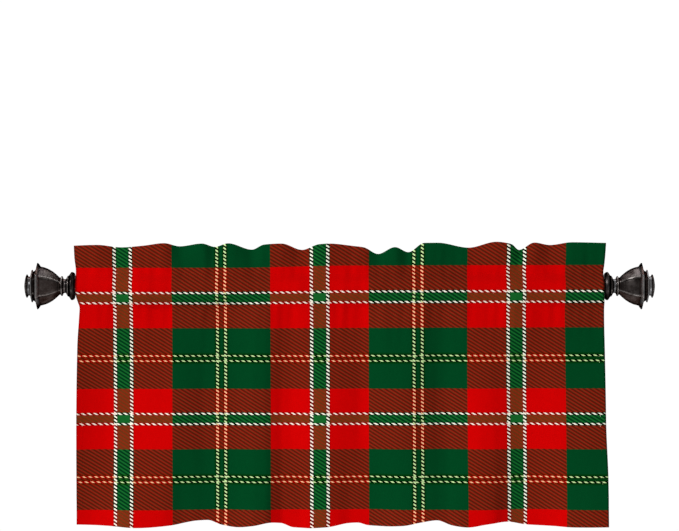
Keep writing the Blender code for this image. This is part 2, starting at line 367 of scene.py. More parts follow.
def smooth(xs, ys, at):
    """A smooth curve through the points that never swings past them."""
    xs, ys = np.asarray(xs, float), np.asarray(ys, float)
    if xs[0] > xs[-1]:
        xs, ys = xs[::-1], ys[::-1]
    step = np.diff(xs)
    rise = np.diff(ys) / step
    slope = np.zeros(len(xs))
    slope[0], slope[-1] = rise[0], rise[-1]
    for i in range(1, len(xs) - 1):
        if rise[i - 1] * rise[i] > 0:
            a, b = 2 * step[i] + step[i - 1], step[i] + 2 * step[i - 1]
            slope[i] = (a + b) / (a / rise[i - 1] + b / rise[i])
    at = np.clip(at, xs[0], xs[-1])
    i = np.clip(np.searchsorted(xs, at) - 1, 0, len(step) - 1)
    t = (at - xs[i]) / step[i]
    return (
        (1 + 2 * t) * (1 - t) ** 2 * ys[i]
        + t * (1 - t) ** 2 * step[i] * slope[i]
        + t * t * (3 - 2 * t) * ys[i + 1]
        + t * t * (t - 1) * step[i] * slope[i + 1]
    )


def ease(t):
    t = np.clip(t, 0.0, 1.0)
    return t * t * (3 - 2 * t)


def linear(value):
    """An 8-bit display value as light."""
    c = value / 255
    return c / 12.92 if c <= 0.04045 else ((c + 0.055) / 1.055) ** 2.4


def mesh_object(name, verts, faces, smooth_shaded=True):
    mesh = bpy.data.meshes.new(name)
    mesh.from_pydata([tuple(v) for v in verts], [], faces)
    mesh.update()
    if smooth_shaded:
        mesh.shade_smooth()
    made = bpy.data.objects.new(name, mesh)
    bpy.context.scene.collection.objects.link(made)
    return made


def grid_faces(rows, columns):
    return [
        (r * columns + c, r * columns + c + 1, (r + 1) * columns + c + 1, (r + 1) * columns + c)
        for r in range(rows - 1)
        for c in range(columns - 1)
    ]


def give_uv(mesh, per_vertex, name="cloth"):
    layer = mesh.uv_layers.new(name=name)
    index = np.zeros(len(mesh.loops), np.int32)
    mesh.loops.foreach_get("vertex_index", index)
    layer.data.foreach_set("uv", np.asarray(per_vertex, np.float32)[index].ravel())


def give_value(mesh, name, values):
    layer = mesh.attributes.new(name, "FLOAT", "POINT")
    layer.data.foreach_set("value", np.asarray(values, np.float32))


# =====================================================================================================
# The cloth's shape
# =====================================================================================================
shares = np.linspace(0.0, 1.0, COLUMNS)
nominal = FIRST_X + SPAN_X * shares
hem_z = smooth(column(HEM, 0), column(HEM, 1), nominal)
swell, seam_fold, middle_fold, low_fold = (smooth(column(FOLDS, 0), column(FOLDS, k), nominal) for k in (1, 2, 3, 4))
top_z, heading_lean = (smooth(column(HEADING, 0), column(HEADING, k), nominal) for k in (1, 2))


def forward(down):
    """How far the hanging cloth lies forward of MEAN_Y at a share of the way down from the seam to the hem."""
    upper = seam_fold + (middle_fold - seam_fold) * ease(down / 0.5)
    lower = middle_fold + (low_fold - middle_fold) * ease((down - 0.5) / 0.5)
    return np.where(down < 0.5, upper, lower)


def across(z):
    """The x of each column at its own height."""
    left, right = (smooth(column(SIDES, 0), column(SIDES, k), z) for k in (1, 2))
    return left + shares * (right - left)


def waves(seed, shortest, longest, count, lean):
    """A wavy line with no repeat: sines of many lengths. lean lets it drift sideways with height."""
    rng = np.random.RandomState(seed)
    lengths = np.exp(rng.uniform(math.log(shortest), math.log(longest), count))
    phases = rng.uniform(0, 2 * math.pi, count)
    drifts = rng.uniform(-lean, lean, count)
    weights = rng.uniform(0.6, 1.0, count)
    weights /= math.sqrt((weights**2).sum() / 2)

    def at(x, z):
        total = np.zeros(np.broadcast(x, z).shape)
        for length, phase, drift, weight in zip(lengths, phases, drifts, weights):
            total = total + weight * np.sin(2 * math.pi * (x + drift * z) / length + phase)
        return total / 2

    return at


fine_waves = waves(11, 15.0, 34.0, 9, 0.10)
broad_waves = waves(23, 46.0, 120.0, 7, 0.16)
cross_waves = waves(5, 70.0, 190.0, 6, 0.9)


def ripple(x, z):
    zs = column(RIPPLES, 0)
    fine = smooth(zs, column(RIPPLES, 1), z) * fine_waves(x, z)
    broad = smooth(zs, column(RIPPLES, 2), z) * (0.75 * broad_waves(x, z) + 0.45 * cross_waves(x, z))
    return fine + broad


def pressed(z, at, deep, wide):
    """How far a row of stitches pulls the face in."""
    return deep * np.exp(-(((z - at) / wide) ** 2))


front_seam_y = MEAN_Y - seam_fold
middle_top_y = -heading_lean * 0.25


def pocket_half(z):
    return smooth(column(POCKET, 0), column(POCKET, 1), z)


def pocket_y(z, side):
    """The middle of the pocket's front (side -1) or back (side 1) wall."""
    half = pocket_half(z)
    around = ease(half / 10.0)
    up = (z - SEAM_Z) / (HEADING_Z - SEAM_Z)
    low = front_seam_y + (0.0 if side < 0 else 2 * LAYER)
    at_rest = (low - side * 0.7) * (1 - ease(up / 0.45)) + middle_top_y * ease((up - 0.6) / 0.4)
    y = at_rest * (1 - around) + side * (half + 0.7)
    if side < 0:
        y = y - swell * around
    return y


def heading_y(part, side):
    part = np.broadcast_to(part, nominal.shape)
    y = middle_top_y + (-heading_lean - middle_top_y) * ease(part)
    bulge = 0.9 * np.sin(np.pi * np.clip(part, 0, 1)) * (0.5 + 0.5 * fine_waves(nominal * 0.6, 300.0))
    return y + side * (0.7 + 0.35 * np.clip(bulge, 0, 2))


def front_y(z):
    down = (SEAM_Z - z) / (SEAM_Z - hem_z)
    return MEAN_Y - forward(np.clip(down, 0, 1))


heading_base = HEADING_Z + 2.4
heading_top = top_z - CROWN


def face_y(z):
    """The face from the heading over the pocket to the hanging part, softened so that the pocket has no kink."""
    total, weights = np.zeros(COLUMNS), 0.0
    for offset in np.linspace(-2.0, 2.0, 9):
        at = np.broadcast_to(z + offset * 4.0, nominal.shape)
        y = np.where(at > -33.5, pocket_y(np.minimum(at, HEADING_Z), -1), front_y(at))
        y = np.where(at > heading_base, heading_y((at - heading_base) / (heading_top - heading_base), -1), y)
        weight = math.exp(-(offset**2) / 2)
        total, weights = total + weight * y, weights + weight
    return total / weights


rows = []  # (y, z) of the sheet's middle, from the flap's turned-under edge to the hem's
ones = np.ones(COLUMNS)


def add_row(y, z, kind):
    rows.append((np.asarray(y) * ones, np.asarray(z) * ones, kind))


# The flap's raw edge, turned in behind the front and folded back up at the seam.
for z in (-30.5, -34.0, -37.2):
    add_row(front_seam_y + LAYER, z, "inside")
for turn in (45, 90, 135):
    a = math.radians(turn)
    add_row(front_seam_y + LAYER * (1.5 - 0.5 * math.cos(a)), -37.4 - 0.5 * LAYER * math.sin(a), "inside")
# The back of the pocket.
for z in (-37.0, -36.0, -35.0, -34.0, -32.4, -30.0, -26.5, -22.5, -18.0, -13.0, -8.0, -3.0, 2.0, 6.5, 10.5, 14.0, 17.0, 19.0, 20.0, 21.2):
    y = pocket_y(np.array(float(z)), 1) if z > -33 else front_seam_y + 2 * LAYER
    add_row(y - pressed(z, SEAM_Z, 0.35, 1.6) - pressed(z, HEADING_Z, 0.3, 1.6), z, "back")
# The back of the heading, its fold and its front.
PARTS = (0.0, 0.07, 0.15, 0.24, 0.33, 0.43, 0.53, 0.63, 0.73, 0.82, 0.90, 0.96, 1.0)
for part in PARTS:
    add_row(heading_y(part, 1), heading_base + part * (heading_top - heading_base), "back")
for turn in (30, 60, 90, 120, 150):
    a = math.radians(turn)
    add_row(-heading_lean + 0.7 * math.cos(a), heading_top + 1.05 * math.sin(a), "crown")
for part in PARTS[::-1]:
    z = heading_base + part * (heading_top - heading_base)
    soft = ease((heading_top - z) / 12.0)
    add_row(heading_y(part, -1) * (1 - soft) + face_y(z) * soft, z, "front")
# The front of the pocket.
for z in (21.2, 20.0, 18.8, 17.0, 14.6, 12.0, 9.2, 6.2, 3.0, -0.4, -4.0, -8.0, -12.0, -16.0, -20.0, -23.8, -27.2, -30.0, -32.2, -33.6):
    add_row(face_y(z) + pressed(z, HEADING_Z, 0.16, 1.8), z, "front")
# The hanging front.
for z in (-35.0, -36.4, -38.2):
    add_row(face_y(z) + pressed(z, SEAM_Z, 0.22, 1.9), z, "front")
first_down = -41.0
HANG_ROWS = 80
for k in range(HANG_ROWS):
    t = k / (HANG_ROWS - 1)
    z = first_down + (hem_z + LAYER - first_down) * (0.75 * t + 0.25 * t * (2 - t))
    add_row(face_y(z) + pressed(z, hem_z + HEM_TURN - 2.0, 0.16, 1.4), z, "front")
# The hem's fold and its turn, with the raw edge folded in.
for turn in (30, 60, 90, 120, 150):
    a = math.radians(turn)
    add_row(face_y(hem_z) + LAYER * (1 - math.cos(a)), hem_z + LAYER * (1 - math.sin(a)), "hem")
for up in (1.4, 4.0, 8.0, 12.0, 16.0, 20.0, 24.0, 25.4):
    z = hem_z + up
    add_row(face_y(z) + 2 * LAYER - pressed(up, HEM_TURN - 2.0, 0.2, 1.4), z, "hem")
for turn in (45, 90, 135):
    a = math.radians(turn)
    z = hem_z + HEM_TURN - 0.5 + 0.5 * LAYER * math.sin(a)
    add_row(face_y(z) + LAYER * (1.5 + 0.5 * math.cos(a)), z, "hem")
for up in (25.2, 22.0, 18.6):
    z = hem_z + up
    add_row(face_y(z) + LAYER, z, "hem")

row_y = np.array([r[0] for r in rows])
row_z = np.array([r[1] for r in rows])
kinds = [r[2] for r in rows]
row_x = np.array([across(z) for z in row_z])
# Ripples move all the layers at one height together, less where the rod fills the pocket.
held = 1 - 0.55 * ease(pocket_half(np.clip(row_z, -33.5, 20.0)) / 12.0)
lift = ripple(row_x, row_z) * held
lift *= ease((row_x - row_x[:, :1]) / 14.0) * 0.6 + 0.4
row_y = row_y - lift

# The pattern's own coordinates: the face as it is seen from the front, carried on by length over the folds.
first_front = kinds.index("crown") + 2
last_front = max(i for i, kind in enumerate(kinds) if kind == "front")
everywhere, at_rod = (smooth(column(DRAWN_UP, 0), column(DRAWN_UP, k), row_x) for k in (1, 2))
pattern_z = row_z - everywhere - at_rod * np.clip((row_z + 75.0) / 105.0, 0, 1.25)
drifts = [smooth(column(DRIFT, 0), column(DRIFT, k), row_z) for k in (1, 2, 3, 4)]
places = (-360.0, -190.0, -30.0, 285.0)
pattern_x = row_x - drifts[0]
for before, after, one, two in zip(drifts, drifts[1:], places, places[1:]):
    pattern_x = pattern_x - (after - before) * ease((row_x - one) / (two - one))
lengths = np.hypot(np.diff(row_y, axis=0), np.diff(row_z, axis=0))
for i in range(first_front - 1, -1, -1):
    pattern_z[i] = pattern_z[i + 1] + lengths[i]
for i in range(last_front + 1, len(rows)):
    pattern_z[i] = pattern_z[i - 1] - lengths[i - 1]

sheet_rows = len(rows)
positions = np.stack([row_x, row_y, row_z], -1).reshape(-1, 3)
cloth = mesh_object("valance_cloth", positions * MM, grid_faces(sheet_rows, COLUMNS))
give_uv(cloth.data, np.stack([pattern_x, pattern_z], -1).reshape(-1, 2) * MM)
edge = np.minimum(row_x - row_x[:, :1], row_x[:, -1:] - row_x)
# Painted shade: a value that darkens the cloth's colour within a millimetre or two of its side edges.
give_value(cloth.data, "painted_edge_shade", np.exp(-edge / 1.3).ravel())

path_length = lengths.sum(0)
along = np.sqrt((np.diff(row_x, axis=1) ** 2) + np.diff(row_y, axis=1) ** 2 + np.diff(row_z, axis=1) ** 2).sum(1)
print("cloth path mm", round(float(path_length.mean()), 1), "width mm", round(float(along[last_front // 2 + 40]), 1),
      "rows", sheet_rows, "columns", COLUMNS)

solid = cloth.modifiers.new("thickness", "SOLIDIFY")
solid.thickness = THICK * MM
solid.offset = 0.0
solid.use_even_offset = True
solid.use_quality_normals = True


# ---- narrow side hems behind the hanging part ------------------------------------------------------
def side_hem(name, side):
    """The strip turned to the back at one side, from the seam down to the hem's turn."""
    start = kinds.index("front", last_front - HANG_ROWS - 2)
    picked = [i for i in range(start, last_front + 1) if np.all(row_z[i] > hem_z + HEM_TURN - 1.5)]
    c0 = 0 if side < 0 else COLUMNS - 1
    inward = 1 if side < 0 else -1
    verts, uvs = [], []
    top, bottom = row_z[picked[0], c0], row_z[picked[-1], c0]
    for i in picked:
        xs, ys = row_x[i][::inward], row_y[i][::inward]
        full = float(ease((top - row_z[i, c0]) / 14.0) * ease((row_z[i, c0] - bottom) / 14.0))
        distance = np.abs(xs - xs[0])
        # The strip is 0.8 thick, so its fold keeps half of that inside the cloth's edge.
        profile = [(0.50, 0.0), (0.42 - 0.12 * full, 0.12 * LAYER), (0.40 - 0.20 * full, 0.5 * LAYER), (0.42 - 0.12 * full, 0.88 * LAYER)]
        profile += [(d, LAYER) for d in (0.8, 2.0, 4.0, 6.0, 8.0, 9.6, 10.6, SIDE_HEM)]
        for d, back in profile:
            y = np.interp(max(d, 0.0), distance, ys)
            verts.append((xs[0] + inward * d, y + back, row_z[i, c0]))
            uvs.append((pattern_x[i, c0] - inward * max(back, d), pattern_z[i, c0]))
    made = mesh_object(name, np.array(verts) * MM, grid_faces(len(picked), len(profile)))
    give_uv(made.data, np.array(uvs) * MM)
    give_value(made.data, "painted_edge_shade", np.zeros(len(verts)))
    thick = made.modifiers.new("thickness", "SOLIDIFY")
    thick.thickness = 0.8 * MM
    thick.offset = 0.0
    return made


hem_left = side_hem("side_hem_left", -1)
hem_right = side_hem("side_hem_right", 1)


# ---- stitches --------------------------------------------------------------------------------------
def surface_point(i, x):
    """(y, z, pattern_z) of row i of the sheet at an x."""
    return (
        np.interp(x, row_x[i], row_y[i]),
        np.interp(x, row_x[i], row_z[i]),
        np.interp(x, row_x[i], pattern_z[i]),
    )


STITCH_PITCH, STITCH_LENGTH, THREAD = 3.3, 2.45, 0.19
stitch_verts, stitch_faces, stitch_uvs = [], [], []


def stitch(start, end, out, uv):
    """One thread between two points: it rises out of the cloth and dips back in."""
    start, end, out = (np.array(v, float) for v in (start, end, out))
    run = end - start
    run_dir = run / np.linalg.norm(run)
    side = np.cross(run_dir, out)
    side /= np.linalg.norm(side)
    base = len(stitch_verts)
    rings = ((0.0, -0.30), (0.14, 0.05), (0.5, 0.17), (0.86, 0.05), (1.0, -0.30))
    sides = 6
    for t, rise in rings:
        middle = start + run * t + out * rise
        for k in range(sides):
            a = 2 * math.pi * k / sides
            stitch_verts.append(middle + THREAD * (side * math.cos(a) + out * math.sin(a) * 0.9))
            stitch_uvs.append(uv)
    for r in range(len(rings) - 1):
        for k in range(sides):
            j = (k + 1) % sides
            p = base + r * sides
            stitch_faces.append((p + k, p + j, p + sides + j, p + sides + k))
    stitch_faces.append(tuple(base + k for k in range(sides))[::-1])
    stitch_faces.append(tuple(base + (len(rings) - 1) * sides + k for k in range(sides)))


def stitch_row(height, kind, low, high, out_sign, inset=2.5):
    """Stitches along the rod at a height above or below the hem or at a fixed height, on one face."""
    count = int((SPAN_X - 2 * inset) / STITCH_PITCH)
    zs = np.array([row_z[i] for i in range(low, high) if kinds[i] == kind])
    ys = np.array([row_y[i] for i in range(low, high) if kinds[i] == kind])
    ps = np.array([pattern_z[i] for i in range(low, high) if kinds[i] == kind])
    us = np.array([pattern_x[i] for i in range(low, high) if kinds[i] == kind])
    xs = np.array([row_x[i] for i in range(low, high) if kinds[i] == kind])
    order = np.argsort(zs[:, 0])
    zs, ys, ps, us, xs = zs[order], ys[order], ps[order], us[order], xs[order]
    for k in range(count):
        ends = []
        for t in (0.0, STITCH_LENGTH):
            share = (inset + k * STITCH_PITCH + t) / SPAN_X
            at = min(max(share, 0.0), 1.0) * (COLUMNS - 1)
            c = min(int(at), COLUMNS - 2)
            f = at - c
            mix = lambda a: a[:, c] * (1 - f) + a[:, c + 1] * f
            z_column = mix(zs)
            z = height if not callable(height) else height(FIRST_X + SPAN_X * share)
            found = [np.interp(z, z_column, mix(a)) for a in (xs, ys, ps, us)]
            ends.append((found[0], found[1], z, found[2], found[3]))
        out = np.array((0.0, out_sign, 0.0))
        a, b = (np.array(e[:3]) + out * THICK / 2 for e in ends)
        stitch(a, b, out, (ends[0][4], ends[0][3]))


crown_at = kinds.index("crown")
stitch_row(SEAM_Z, "front", crown_at, last_front + 1, -1)
stitch_row(SEAM_Z, "back", 0, crown_at, 1)
stitch_row(HEADING_Z, "front", crown_at, last_front + 1, -1)
stitch_row(HEADING_Z, "back", 0, crown_at, 1)
hem_line = lambda x: float(np.interp(x, nominal, hem_z)) + HEM_TURN - 2.0
stitch_row(hem_line, "front", crown_at, last_front + 1, -1)
stitch_row(hem_line, "hem", last_front + 6, sheet_rows - 5, 1)
for side, inward in ((-1, 1), (1, -1)):
    start = kinds.index("front", last_front - HANG_ROWS - 2)
    zs = row_z[start : last_front + 1, 0 if side < 0 else -1][::-1]
    at_x = [
        (row_x[i, 0] + 9.2) if side < 0 else (row_x[i, -1] - 9.2) for i in range(start, last_front + 1)
    ][::-1]
    at_y = [surface_point(i, x)[0] for i, x in zip(range(last_front, start - 1, -1), at_x)]
    z = -39.0
    while z > zs[0] + HEM_TURN + 2:
        for out_sign, extra in ((-1, 0.0), (1, LAYER)):
            ends = [
                np.array((np.interp(h, zs, at_x), np.interp(h, zs, at_y) + extra + out_sign * THICK / 2, h))
                for h in (z, z - STITCH_LENGTH)
            ]
            stitch(ends[0], ends[1], (0.0, out_sign, 0.0), (ends[0][0], z))
        z -= STITCH_PITCH

stitches = mesh_object("stitches", np.array(stitch_verts) * MM, stitch_faces)
give_uv(stitches.data, np.array(stitch_uvs) * MM)
give_value(stitches.data, "painted_edge_shade", np.zeros(len(stitch_verts)))


# =====================================================================================================
# The finials
# =====================================================================================================
def finial_profile():
    """The table's outline with its corners rounded: (along, half_width, six, wear_and_highlight), the last being wear
    on convex corners, which the material also lightens as a painted highlight.
    """
    points = [(a, w / 2, float(six)) for a, w, six, _ in FINIAL]
    found = [(*points[0], 0.0)]
    for k in range(1, len(points) - 1):
        before, here, after = (np.array(points[j]) for j in (k - 1, k, k + 1))
        cut = FINIAL[k][3]
        if cut <= 0:
            found.append((*here, 0.0))
            continue
        back, on = before - here, after - here
        one, two = np.hypot(*back[:2]), np.hypot(*on[:2])
        start = here + back * min(cut / one, 0.46)
        end = here + on * min(cut / two, 0.46)
        bend = np.cross(-back[:2] / one, on[:2] / two)
        wear_and_highlight = min(max(-bend * 1.4, 0.0), 1.0)
        for t in (0.0, 0.34, 0.67, 1.0):
            p = (1 - t) ** 2 * start + 2 * t * (1 - t) * here + t * t * end
            found.append((*p, wear_and_highlight))
    found.append((*points[-1], 0.0))
    return found


def finial_ring(radius, six):
    """(y, z, ridge, under) around the axis: between a circle and a hexagon with rounded corners, one at the top.
    under is 1 on the narrow strip below each ridge, which takes a painted shadow."""
    rounding = 0.8 + 0.035 * radius
    found = []
    for sector in range(6):
        turn = sector * math.pi / 3
        centre = (0.0, radius - rounding / math.cos(math.pi / 6))
        ring = []
        for a in (-30, -15, 0, 15, 30):
            b = math.radians(a)
            ring.append((centre[0] + rounding * math.sin(b), centre[1] + rounding * math.cos(b), 1.0))
        ridge_shadow_strips = [0.0] * len(ring)
        start = ring[-1]
        c, s = math.cos(-math.pi / 3), math.sin(-math.pi / 3)
        first_next = (ring[0][0] * c - ring[0][1] * s, ring[0][0] * s + ring[0][1] * c)
        for t in (0.03, 0.07, 0.12, 0.18, 0.28, 0.42, 0.58, 0.72, 0.82, 0.88, 0.93, 0.97):
            x = start[0] + (first_next[0] - start[0]) * t
            y = start[1] + (first_next[1] - start[1]) * t
            beside = math.exp(-(((min(t, 1 - t) - 0.075) / 0.04) ** 2))
            out = 1 + 0.010 * math.sin(math.pi * t) - 0.014 * beside
            ring.append((x * out, y * out, 0.5 if t in (0.03, 0.97) else 0.0))
            # The strip below each ridge, on its lower side, for a painted shadow.
            below = t if sector < 3 else 1 - t
            ridge_shadow_strips.append(math.exp(-(((below - 0.09) / 0.05) ** 2)))
        c, s = math.cos(-turn), math.sin(-turn)
        for (x, y, ridge), under in zip(ring, ridge_shadow_strips):
            hx, hy = x * c - y * s, x * s + y * c
            length = math.hypot(hx, hy)
            k = six + (1 - six) * radius / length
            found.append((-hx * k, hy * k, ridge * six, under * six))
    return found


def finish_and_painted_light_at(along_x, y, z, radius, under, side):
    """How light the finish is at a point, with painted light and shade: a painted dark outline, painted shadow under
    each ridge and on the lips' tips, and painted light and shade on the faces.
    """
    alongs = column(FINISH_AND_PAINTED_LIGHT, 0)
    all_round, on_upper = (float(np.interp(along_x, alongs, column(FINISH_AND_PAINTED_LIGHT, k))) for k in (1, 2))
    lift = z / max(radius, 1.0)
    upper, lower = (float(ease((v - 0.47) / 0.06)) for v in (lift, -lift))
    # Painted light and shade from the table, with the upper faces lighter or darker on their own.
    tone = all_round * (1 + (on_upper - 1) * upper)
    six_sided = float(ease((along_x - 22.0) / 3.0) * ease((58.0 - along_x) / 2.0))
    # The two ends carry different painted light and shade, so that both look alike under lamps that light them
    # unevenly.
    on_end, on_front, on_lower, on_collar = (1.45, 1.80, 1.85, 0.9) if side < 0 else (2.3, 0.60, 1.95, 0.6)
    on_top, on_neck = (0.74, 1.15) if side < 0 else (1.04, 1.75)
    # Painted light and shade: the front, upper and lower faces, the ends, the neck and the collar each get their own
    # tone.
    body = on_front * (1 - upper - lower) + on_top * upper + on_lower * lower
    tone *= float(np.interp(along_x, (0.0, 18.0, 20.5, 25.0, 27.0, 56.0, 59.0, 63.0, 67.0, 72.0), (on_end, on_end, 1.9, 1.9, body, body, 1.0, on_neck, on_neck, on_collar)))
    # Painted shade towards the top and bottom of the outline.
    tone *= 1 - 0.62 * float(ease((abs(lift) - 0.86) / 0.10))
    # Painted shadow on the strip under each ridge.
    tone *= 1 - 0.72 * under * six_sided
    # Painted shade on the top and bottom tips of the big lip.
    tone *= 1 - 0.90 * float(ease((abs(z) - 27.0) / 6.0) * ease((28.0 - along_x) / 2.0))
    # Painted highlight: neutral grey where the tone is brightest and on the six-sided upper faces.
    painted_grey = max(float(ease((tone - 2.0) / 1.2)), 0.7 * upper * six_sided)
    return tone, painted_grey


def make_finial(name, side):
    verts, wears_and_highlights, tones, painted_greys = [], [], [], []
    profile = finial_profile()
    for along_x, radius, six, wear_and_highlight in profile:
        x = side * (FINIAL_FACE + FINIAL[-1][0] - along_x)
        for y, z, ridge, under in finial_ring(max(radius, 0.3), six):
            verts.append((x, y, z))
            # Painted shade: near the top and bottom outline the lighter worn colour is held back.
            outline = float(ease((abs(z) / max(radius, 1.0) - 0.86) / 0.10))
            up = z / max(radius, 1.0)
            # Painted shade: dark rims on the upper and lower sides of the end's rings, and on the tip.
            painted_dark_rim = float(ease((max(up, -up - 0.25) - 0.40) / 0.10)) if along_x < 26 else 0.0
            painted_dark_rim = max(painted_dark_rim, 0.6 * (along_x < 5.0))
            # Partly real wear on convex corners, partly a painted highlight along the ridges, stronger on the left end
            # and weaker on the collar.
            wears_and_highlights.append(max(wear_and_highlight, ridge * (1.0 if side < 0 else 0.80)) * (1 - 0.85 * outline) * (1 - 0.92 * painted_dark_rim) * (0.25 if along_x > 71 else 1.0))
            tone, painted_grey = finish_and_painted_light_at(along_x, y, z, radius, under, side)
            tones.append(tone)
            painted_greys.append(painted_grey)
    n = len(finial_ring(10, 1.0))
    faces = []
    for r in range(len(profile) - 1):
        for k in range(n):
            j = (k + 1) % n
            face = (r * n + k, r * n + j, (r + 1) * n + j, (r + 1) * n + k)
            faces.append(face if side > 0 else face[::-1])
    first = tuple(range(n))
    last = tuple(range((len(profile) - 1) * n, len(profile) * n))
    faces.append(first[::-1] if side > 0 else first)
    faces.append(last if side > 0 else last[::-1])
    made = mesh_object(name, np.array(verts) * MM, faces)
    bm = bmesh.new()
    bm.from_mesh(made.data)
    bmesh.ops.recalc_face_normals(bm, faces=bm.faces)
    bm.to_mesh(made.data)
    bm.free()
    made.data.shade_smooth()
    made.data.set_sharp_from_angle(angle=math.radians(42))
    give_value(made.data, "wear_and_highlight", wears_and_highlights)
    give_value(made.data, "rub_and_painted_light", tones)
    give_value(made.data, "painted_grey_highlight", painted_greys)
    return made


finials = [make_finial("finial_left_shape", -1), make_finial("finial_right_shape", 1)]


# =====================================================================================================
# Materials
# =====================================================================================================
class Tree:
    """Short calls that add nodes to a material and return their outputs."""

    def __init__(self, name):
        self.material = bpy.data.materials.new(name)
        self.material.use_nodes = True
        self.nodes, self.links = self.material.node_tree.nodes, self.material.node_tree.links
        self.shader = self.nodes["Principled BSDF"]

    def put(self, socket, value):
        if isinstance(value, bpy.types.NodeSocket):
            self.links.new(value, socket)
        else:
            socket.default_value = value

    def math(self, operation, *values, clamp=False):
        node = self.nodes.new("ShaderNodeMath")
        node.operation, node.use_clamp = operation, clamp
        for socket, value in zip(node.inputs, values):
            self.put(socket, value)
        return node.outputs[0]

    def step(self, value, low, high):
        """0 below low, 1 over high and smooth between them."""
        node = self.nodes.new("ShaderNodeMapRange")
        node.interpolation_type = "SMOOTHSTEP"
        for name, v in (("Value", value), ("From Min", low), ("From Max", high), ("To Min", 0.0), ("To Max", 1.0)):
            self.put(node.inputs[name], v)
        return node.outputs["Result"]

    def mix(self, factor, a, b, blend="MIX"):
        node = self.nodes.new("ShaderNodeMix")
        node.data_type, node.blend_type = "RGBA", blend
        node.clamp_factor = True
        self.put(node.inputs["Factor"], factor)
        sockets = [s for s in node.inputs if s.type == "RGBA"]
        self.put(sockets[0], a)
        self.put(sockets[1], b)
        return [s for s in node.outputs if s.type == "RGBA"][0]

    def noise(self, vector, scale, detail=2.0, roughness=0.5, distortion=0.0):
        node = self.nodes.new("ShaderNodeTexNoise")
        self.put(node.inputs["Vector"], vector)
        node.inputs["Scale"].default_value = scale
        node.inputs["Detail"].default_value = detail
        node.inputs["Roughness"].default_value = roughness
        node.inputs["Distortion"].default_value = distortion
        return node.outputs["Fac"]

    def vector(self, x, y, z=0.0):
        node = self.nodes.new("ShaderNodeCombineXYZ")
        for socket, value in zip(node.inputs, (x, y, z)):
            self.put(socket, value)
        return node.outputs[0]

    def attribute(self, name):
        node = self.nodes.new("ShaderNodeAttribute")
        node.attribute_name = name
        return node.outputs["Fac"]

    def position(self):
        return self.nodes.new("ShaderNodeTexCoord").outputs["Object"]

    def bump(self, height, strength, distance, normal=None):
        node = self.nodes.new("ShaderNodeBump")
        node.inputs["Strength"].default_value = strength
        node.inputs["Distance"].default_value = distance
        self.put(node.inputs["Height"], height)
        if normal is not None:
            self.put(node.inputs["Normal"], normal)
        return node.outputs["Normal"]


def yarn(display):
    """A yarn's colour for mixing on the display's scale: the Gamma node turns the mix into light afterwards."""
    return tuple((linear(v) / LIGHT_LEVEL) ** (1 / 2.2) for v in display) + (1.0,)


